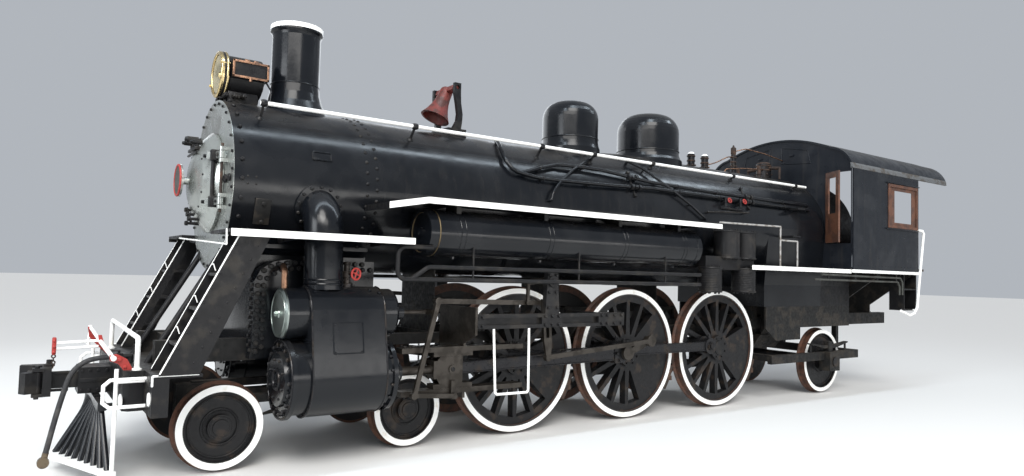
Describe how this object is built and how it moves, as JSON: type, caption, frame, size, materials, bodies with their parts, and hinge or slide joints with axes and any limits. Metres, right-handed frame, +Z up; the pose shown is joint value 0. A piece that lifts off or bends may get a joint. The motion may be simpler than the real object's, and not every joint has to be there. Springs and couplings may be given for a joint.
{
  "type": "steam locomotive",
  "caption": "Coal-burning passenger steam locomotive without tender: boiler on bar frames, coupled drive wheels, lead and trailing trucks, cab, pilot and swinging bell.",
  "frame": {"origin": "under the middle of the engine's length and width, at the lowest point of the wheel flanges", "axes": "+X forwards to the coupler, +Y to the engine's own left, +Z up"},
  "size_m": [14.72, 3.044, 4.6199],
  "materials": {
    "black_gloss": "gloss black paint",
    "black_iron": "black paint on castings, dusty in the corners",
    "cab_black": "blue-black paint, a little dull",
    "smokebox_grey": "silver-grey heat paint",
    "white_paint": "white trim paint",
    "red_paint": "faded red paint",
    "bright_steel": "oily machined steel",
    "dark_steel": "dark oiled steel",
    "rusty_iron": "rust-brown iron",
    "wheel_iron": "black wheel paint",
    "tyre_steel": "worn rusty tyre, white outer face",
    "brown_wood": "brown stained wood",
    "deck_wood": "worn deck boards",
    "hose_rubber": "black rubber hose"
  },
  "bodies": {
    "engine": {"air_compressor": "black_iron", "air_reservoirs": "black_gloss", "ash_pan": "black_iron", "backhead": "black_iron", "bell_bracket": "black_iron", "boiler_barrel": "black_gloss", "boiler_fittings": "dark_steel", "brake_hose": "hose_rubber", "brake_rigging": "rusty_iron", "cab_floor": "deck_wood", "cab_front": "cab_black", "cab_roof": "cab_black", "cab_seats": "brown_wood", "cab_sides": "cab_black", "coupler_body": "rusty_iron", "crossheads": "bright_steel", "cylinder_saddle": "black_iron", "cylinders": "black_gloss", "domes": "black_gloss", "drawbar_pocket": "black_iron", "driver_springs": "black_iron", "firebox": "black_gloss", "frame_rails": "black_iron", "gear_frames": "black_iron", "grab_irons": "white_paint", "guide_bars": "bright_steel", "handrails": "white_paint", "headlight": "black_iron", "hose_gladhand": "rusty_iron", "main_rods": "dark_steel", "pilot": "dark_steel", "pilot_beam": "black_iron", "pilot_rail": "white_paint", "pipework": "black_iron", "running_boards": "black_iron", "smokebox": "black_gloss", "stack": "black_gloss", "steam_pipes": "black_gloss", "steps": "black_iron", "valve_gear": "bright_steel", "window_frames": "brown_wood"},
    "bell": {"bell": "red_paint"},
    "smokebox_door": {"smokebox_door": "smokebox_grey"},
    "cab_door": {"cab_front_door": "brown_wood"},
    "knuckle": {"coupler_knuckle": "rusty_iron"},
    "side_rod_left": {"side_rod_left": "dark_steel"},
    "side_rod_right": {"side_rod_right": "dark_steel"},
    "lead_truck": {"lead_truck_frame": "black_iron"},
    "lead_wheels_front": {"lead_wheelset_front": "wheel_iron"},
    "lead_wheels_rear": {"lead_wheelset_rear": "wheel_iron"},
    "trailing_truck": {"trailing_truck_frame": "black_iron"},
    "trailing_wheels": {"trailing_wheelset": "wheel_iron"},
    "driver_1": {"driver_1_centres": "wheel_iron", "driver_1_tyres": "tyre_steel"},
    "driver_2": {"driver_2_centres": "wheel_iron", "driver_2_tyres": "tyre_steel"},
    "driver_3": {"driver_3_centres": "wheel_iron", "driver_3_tyres": "tyre_steel"}
  },
  "joints": [
    {"name": "driver_1_turn", "type": "hinge", "parent": "engine", "child": "driver_1", "pos_m": [2.377, 0, 0.8915], "axis": [0, 1, 0], "continuous": true},
    {"name": "driver_2_turn", "type": "hinge", "parent": "engine", "child": "driver_2", "pos_m": [0.494, 0, 0.8915], "axis": [0, 1, 0], "continuous": true},
    {"name": "driver_3_turn", "type": "hinge", "parent": "engine", "child": "driver_3", "pos_m": [-1.388, 0, 0.8915], "axis": [0, 1, 0], "continuous": true},
    {"name": "side_rod_left_turn", "type": "hinge", "parent": "driver_2", "child": "side_rod_left", "pos_m": [0.8465, 0.935, 0.941], "axis": [0, 1, 0], "continuous": true},
    {"name": "side_rod_right_turn", "type": "hinge", "parent": "driver_2", "child": "side_rod_right", "pos_m": [0.5435, -0.935, 0.539], "axis": [0, 1, 0], "continuous": true},
    {"name": "lead_truck_swivel", "type": "hinge", "parent": "engine", "child": "lead_truck", "pos_m": [4.814, 0, 0.668], "axis": [0, 0, 1], "range_deg": [-4, 4]},
    {"name": "lead_front_turn", "type": "hinge", "parent": "lead_truck", "child": "lead_wheels_front", "pos_m": [5.79, 0, 0.4215], "axis": [0, 1, 0], "continuous": true},
    {"name": "lead_rear_turn", "type": "hinge", "parent": "lead_truck", "child": "lead_wheels_rear", "pos_m": [3.837, 0, 0.4215], "axis": [0, 1, 0], "continuous": true},
    {"name": "trailing_truck_swing", "type": "hinge", "parent": "engine", "child": "trailing_truck", "pos_m": [-2.6, 0, 0.678], "axis": [0, 0, 1], "range_deg": [-4, 4]},
    {"name": "trailing_turn", "type": "hinge", "parent": "trailing_truck", "child": "trailing_wheels", "pos_m": [-4.19, 0, 0.561], "axis": [0, 1, 0], "continuous": true},
    {"name": "bell_swing", "type": "hinge", "parent": "engine", "child": "bell", "pos_m": [3.01, 0, 4.243], "axis": [0, 1, 0], "range_deg": [-12, 58]},
    {"name": "smokebox_door_swing", "type": "hinge", "parent": "engine", "child": "smokebox_door", "pos_m": [5.836, 0.59, 2.798], "axis": [0, 0, 1], "range_deg": [0, 110]},
    {"name": "cab_door_swing", "type": "hinge", "parent": "engine", "child": "cab_door", "pos_m": [-3.99, 1.018, 3.198], "axis": [0, 0, 1], "range_deg": [-55, 30]},
    {"name": "knuckle_swing", "type": "hinge", "parent": "engine", "child": "knuckle", "pos_m": [7.23, 0.12, 0.838], "axis": [0, 0, 1], "range_deg": [0, 40]}
  ],
  "couplings": [
    {"joint": "driver_1_turn", "follows": "driver_2_turn", "ratio": 1},
    {"joint": "driver_3_turn", "follows": "driver_2_turn", "ratio": 1},
    {"joint": "side_rod_left_turn", "follows": "driver_2_turn", "ratio": -1},
    {"joint": "side_rod_right_turn", "follows": "driver_2_turn", "ratio": -1}
  ]
}
